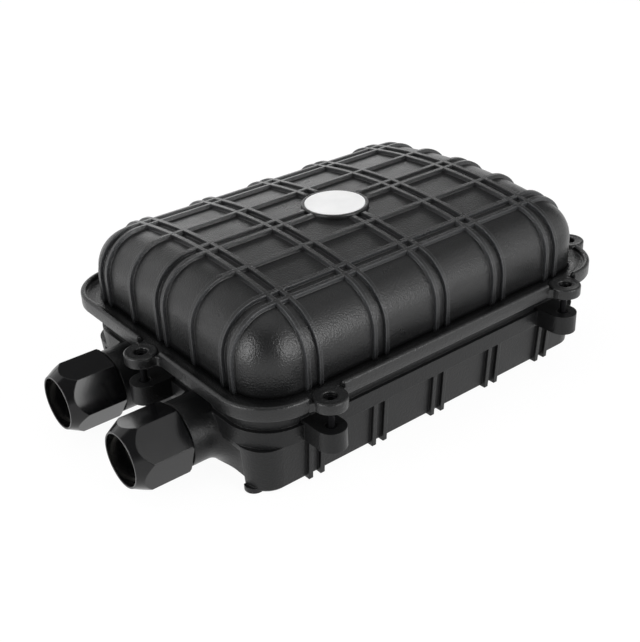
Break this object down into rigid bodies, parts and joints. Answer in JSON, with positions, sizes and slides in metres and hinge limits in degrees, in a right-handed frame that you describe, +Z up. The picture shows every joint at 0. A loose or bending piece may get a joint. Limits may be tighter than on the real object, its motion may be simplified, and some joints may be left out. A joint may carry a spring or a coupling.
{
  "type": "fibre splice closure",
  "caption": "Black moulded splice closure with a ribbed domed lid, screw ears, cable glands and a hinged fibre tray inside.",
  "frame": {"origin": "centre of the base's flat underside", "axes": "+X along the casing, towards the end with the single gland; +Z up, from the base to the crown of the lid"},
  "size_m": [0.2836, 0.1808, 0.0844],
  "materials": {
    "black_plastic": "fine-grained, soft sheen",
    "nut_plastic": "smooth satin",
    "white_label": "matte",
    "seal_rubber": "matte",
    "brass": "turned",
    "black_steel": "black oxide, satin",
    "ring_plastic": "smooth",
    "plated_steel": "zinc plated",
    "tray_plastic": "smooth moulded",
    "holder_rubber": "soft",
    "clear_cover": "clear polycarbonate"
  },
  "bodies": {
    "base": {"base_shell": "black_plastic", "seal_ring": "seal_rubber", "screw_inserts": "black_steel", "gland_grommet_1": "seal_rubber", "gland_grommet_2": "seal_rubber", "gland_grommet_3": "seal_rubber", "cable_clamp_1": "plated_steel", "cable_clamp_2": "plated_steel", "cable_clamp_3": "plated_steel", "clamp_screws": "plated_steel", "strength_clamp_1": "brass", "strength_clamp_2": "brass", "strength_clamp_3": "brass", "strength_screws": "plated_steel", "tray_bracket": "plated_steel", "bracket_screws": "plated_steel", "hinge_pin": "plated_steel"},
    "lid": {"lid_shell": "black_plastic", "label_disc": "white_label"},
    "screw_1": {"lid_screw_1": "black_steel"},
    "screw_2": {"lid_screw_2": "black_steel"},
    "screw_3": {"lid_screw_3": "black_steel"},
    "screw_4": {"lid_screw_4": "black_steel"},
    "screw_5": {"lid_screw_5": "black_steel"},
    "screw_6": {"lid_screw_6": "black_steel"},
    "screw_7": {"lid_screw_7": "black_steel"},
    "ring_1": {"thrust_ring_1": "ring_plastic"},
    "nut_1": {"gland_nut_1": "nut_plastic"},
    "ring_2": {"thrust_ring_2": "ring_plastic"},
    "nut_2": {"gland_nut_2": "nut_plastic"},
    "ring_3": {"thrust_ring_3": "ring_plastic"},
    "nut_3": {"gland_nut_3": "nut_plastic"},
    "tray": {"splice_tray": "tray_plastic", "splice_holder": "holder_rubber"},
    "cover": {"tray_cover": "clear_cover"}
  },
  "joints": [
    {"name": "lid_lift", "type": "slide", "parent": "base", "child": "lid", "axis": [0, 0, 1], "range_m": [0, 0.15]},
    {"name": "screw_rise_1", "type": "slide", "parent": "lid", "child": "screw_1", "axis": [0, 0, 1], "range_m": [0, 0.008]},
    {"name": "screw_rise_2", "type": "slide", "parent": "lid", "child": "screw_2", "axis": [0, 0, 1], "range_m": [0, 0.008]},
    {"name": "screw_rise_3", "type": "slide", "parent": "lid", "child": "screw_3", "axis": [0, 0, 1], "range_m": [0, 0.008]},
    {"name": "screw_rise_4", "type": "slide", "parent": "lid", "child": "screw_4", "axis": [0, 0, 1], "range_m": [0, 0.008]},
    {"name": "screw_rise_5", "type": "slide", "parent": "lid", "child": "screw_5", "axis": [0, 0, 1], "range_m": [0, 0.008]},
    {"name": "screw_rise_6", "type": "slide", "parent": "lid", "child": "screw_6", "axis": [0, 0, 1], "range_m": [0, 0.008]},
    {"name": "screw_rise_7", "type": "slide", "parent": "lid", "child": "screw_7", "axis": [0, 0, 1], "range_m": [0, 0.008]},
    {"name": "nut_travel_1", "type": "slide", "parent": "base", "child": "ring_1", "axis": [-1, 0, 0], "range_m": [0, 0.01]},
    {"name": "nut_turn_1", "type": "hinge", "parent": "ring_1", "child": "nut_1", "pos_m": [-0.125, -0.0288, 0.0187], "axis": [-1, 0, 0], "range_deg": [0, 1800]},
    {"name": "nut_travel_2", "type": "slide", "parent": "base", "child": "ring_2", "axis": [-1, 0, 0], "range_m": [0, 0.01]},
    {"name": "nut_turn_2", "type": "hinge", "parent": "ring_2", "child": "nut_2", "pos_m": [-0.125, 0.0288, 0.0187], "axis": [-1, 0, 0], "range_deg": [0, 1800]},
    {"name": "nut_travel_3", "type": "slide", "parent": "base", "child": "ring_3", "axis": [1, 0, 0], "range_m": [0, 0.01]},
    {"name": "nut_turn_3", "type": "hinge", "parent": "ring_3", "child": "nut_3", "pos_m": [0.125, 0, 0.0187], "axis": [1, 0, 0], "range_deg": [0, 1800]},
    {"name": "tray_tilt", "type": "hinge", "parent": "base", "child": "tray", "pos_m": [0.062, 0, 0.0255], "axis": [0, 1, 0], "range_deg": [0, 75]},
    {"name": "cover_slide", "type": "slide", "parent": "tray", "child": "cover", "axis": [-1, 0, 0], "range_m": [0, 0.022]}
  ],
  "couplings": [
    {"joint": "nut_travel_1", "follows": "nut_turn_1", "m_per_rad": 0.0003183},
    {"joint": "nut_travel_2", "follows": "nut_turn_2", "m_per_rad": 0.0003183},
    {"joint": "nut_travel_3", "follows": "nut_turn_3", "m_per_rad": 0.0003183},
    {"joint": "tray_tilt", "follows": "lid_lift", "rad_per_m": 8.72}
  ]
}
